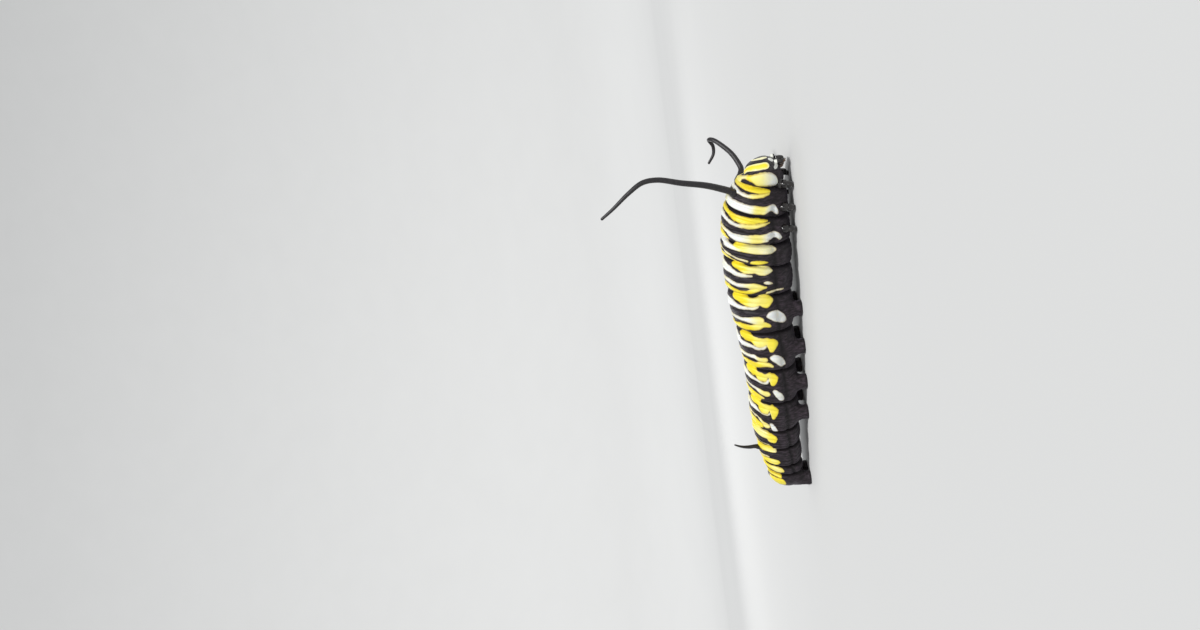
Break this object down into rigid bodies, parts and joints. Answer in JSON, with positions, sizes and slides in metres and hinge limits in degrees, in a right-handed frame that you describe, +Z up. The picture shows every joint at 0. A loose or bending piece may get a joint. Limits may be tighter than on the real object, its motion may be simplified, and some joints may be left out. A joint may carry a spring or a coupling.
{
  "type": "monarch larva",
  "caption": "Life-size model of a full-grown banded larva, head end hunched, standing on its feet, with long soft filaments near both ends.",
  "frame": {"origin": "on the floor, under the middle of the larva's whole box", "axes": "+X from the tail to the head, +Y to the larva's left side, +Z up"},
  "size_m": [0.0386, 0.0106, 0.0183],
  "materials": {
    "skin": "waxy skin banded in yellow, white and black",
    "velvet": "velvety black skin",
    "shell": "glossy black horny shell"
  },
  "bodies": {
    "root": {"thorax_1": "skin", "thorax_2": "skin", "thorax_3": "skin", "abdomen_1": "skin", "abdomen_2": "skin", "abdomen_3": "skin", "abdomen_4": "skin", "abdomen_5": "skin", "abdomen_6": "skin", "abdomen_7": "skin", "abdomen_8": "skin", "abdomen_9": "skin", "abdomen_10": "skin", "head": "shell", "mandible_right": "shell", "antenna_right": "shell", "mandible_left": "shell", "antenna_left": "shell", "leg_1_right": "shell", "leg_1_left": "shell", "leg_2_right": "shell", "leg_2_left": "shell", "leg_3_right": "shell", "leg_3_left": "shell", "proleg_3_right": "velvet", "proleg_3_left": "velvet", "proleg_4_right": "velvet", "proleg_4_left": "velvet", "proleg_5_right": "velvet", "proleg_5_left": "velvet", "proleg_6_right": "velvet", "proleg_6_left": "velvet", "anal_proleg_right": "velvet", "anal_proleg_left": "velvet", "filament_front_right_base": "velvet", "filament_front_right_middle": "velvet", "filament_front_right_tip": "velvet", "filament_front_left_base": "velvet", "filament_front_left_middle": "velvet", "filament_front_left_tip": "velvet", "filament_rear_right": "velvet", "filament_rear_left": "velvet"}
  },
  "joints": []
}
